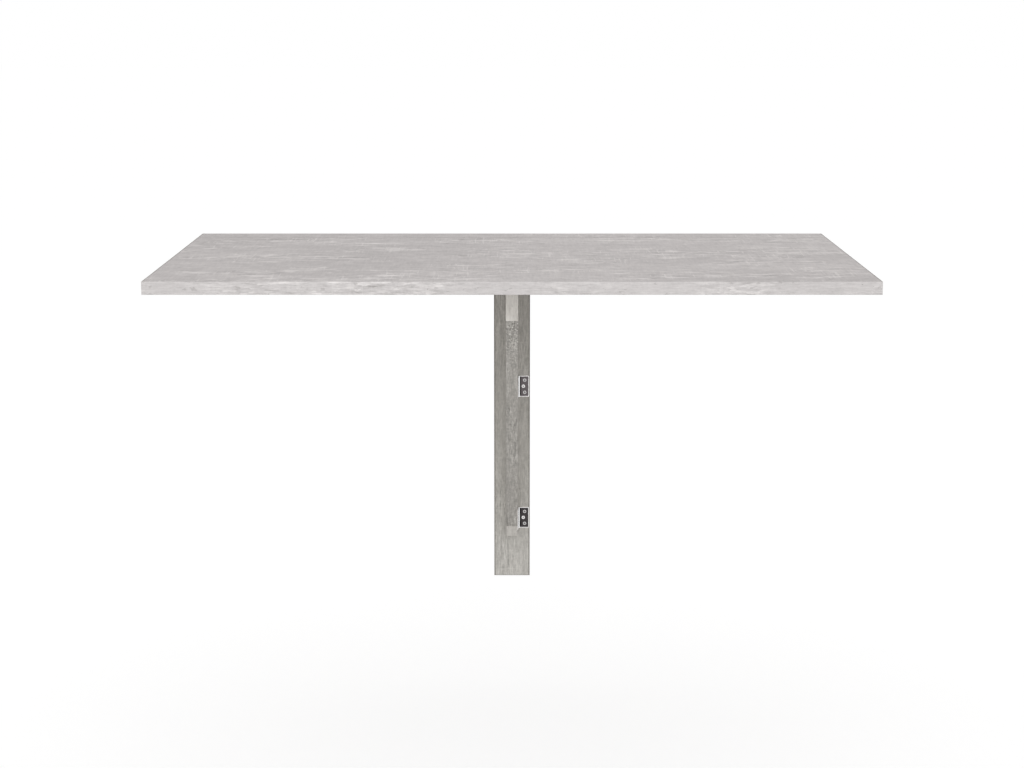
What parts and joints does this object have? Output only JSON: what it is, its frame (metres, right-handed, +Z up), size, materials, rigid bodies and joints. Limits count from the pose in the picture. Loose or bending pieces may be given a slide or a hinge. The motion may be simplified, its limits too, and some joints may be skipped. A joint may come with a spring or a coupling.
{
  "type": "wall mounted drop leaf table",
  "caption": "Wall mounted drop leaf table in concrete-look laminated board: a hinged leaf on a fixed wall strip, held up by a tapered leg that swings out from a wall post.",
  "frame": {"origin": "middle of the wall rail's back face, on the wall", "axes": "+Z up, +X along the wall, +Y into the wall; the table stands out along -Y"},
  "size_m": [1, 0.6, 0.56],
  "materials": {
    "concrete_laminate": "matt grey concrete-look laminate on chipboard",
    "edge_band": "matt grey concrete-look edge band",
    "hinge_steel": "zinc-plated rolled sheet steel",
    "screw_steel": "zinc-plated steel",
    "dowel_wood": "plain beech"
  },
  "bodies": {
    "wall_frame": {"strip_panel": "concrete_laminate", "strip_front_band": "edge_band", "strip_left_band": "edge_band", "strip_right_band": "edge_band", "rail_panel": "concrete_laminate", "rail_bottom_band": "edge_band", "rail_left_band": "edge_band", "rail_right_band": "edge_band", "backing_panel": "concrete_laminate", "backing_left_band": "edge_band", "backing_right_band": "edge_band", "backing_bottom_band": "edge_band", "post_panel": "concrete_laminate", "post_left_band": "edge_band", "post_right_band": "edge_band", "post_bottom_band": "edge_band", "upper_hinge_post_plate": "hinge_steel", "lower_hinge_post_plate": "hinge_steel", "upper_hinge_pin": "hinge_steel", "lower_hinge_pin": "hinge_steel", "left_hinge_strip_plate": "hinge_steel", "right_hinge_strip_plate": "hinge_steel", "left_hinge_pin": "hinge_steel", "right_hinge_pin": "hinge_steel", "post_hinge_screws": "screw_steel", "strip_hinge_screws": "screw_steel", "post_screws": "screw_steel", "strip_dowels": "dowel_wood"},
    "support_leg": {"leg_panel": "concrete_laminate", "leg_top_band": "edge_band", "leg_front_band": "edge_band", "leg_slope_band": "edge_band", "leg_nose_band": "edge_band", "leg_bottom_band": "edge_band", "leg_rear_band": "edge_band", "upper_hinge_leg_plate": "hinge_steel", "lower_hinge_leg_plate": "hinge_steel", "leg_hinge_screws": "screw_steel"},
    "drop_leaf": {"leaf_panel": "concrete_laminate", "leaf_front_band": "edge_band", "leaf_rear_band": "edge_band", "leaf_left_band": "edge_band", "leaf_right_band": "edge_band", "left_hinge_leaf_plate": "hinge_steel", "right_hinge_leaf_plate": "hinge_steel", "leaf_hinge_screws": "screw_steel"}
  },
  "joints": [
    {"name": "leg_swing", "type": "hinge", "parent": "wall_frame", "child": "support_leg", "pos_m": [0.011, -0.038, 0], "axis": [0, 0, 1], "range_deg": [0, 90]},
    {"name": "leaf_lift", "type": "hinge", "parent": "wall_frame", "child": "drop_leaf", "pos_m": [0, -0.058, 0.027], "axis": [-1, 0, 0], "range_deg": [0, 3]}
  ]
}
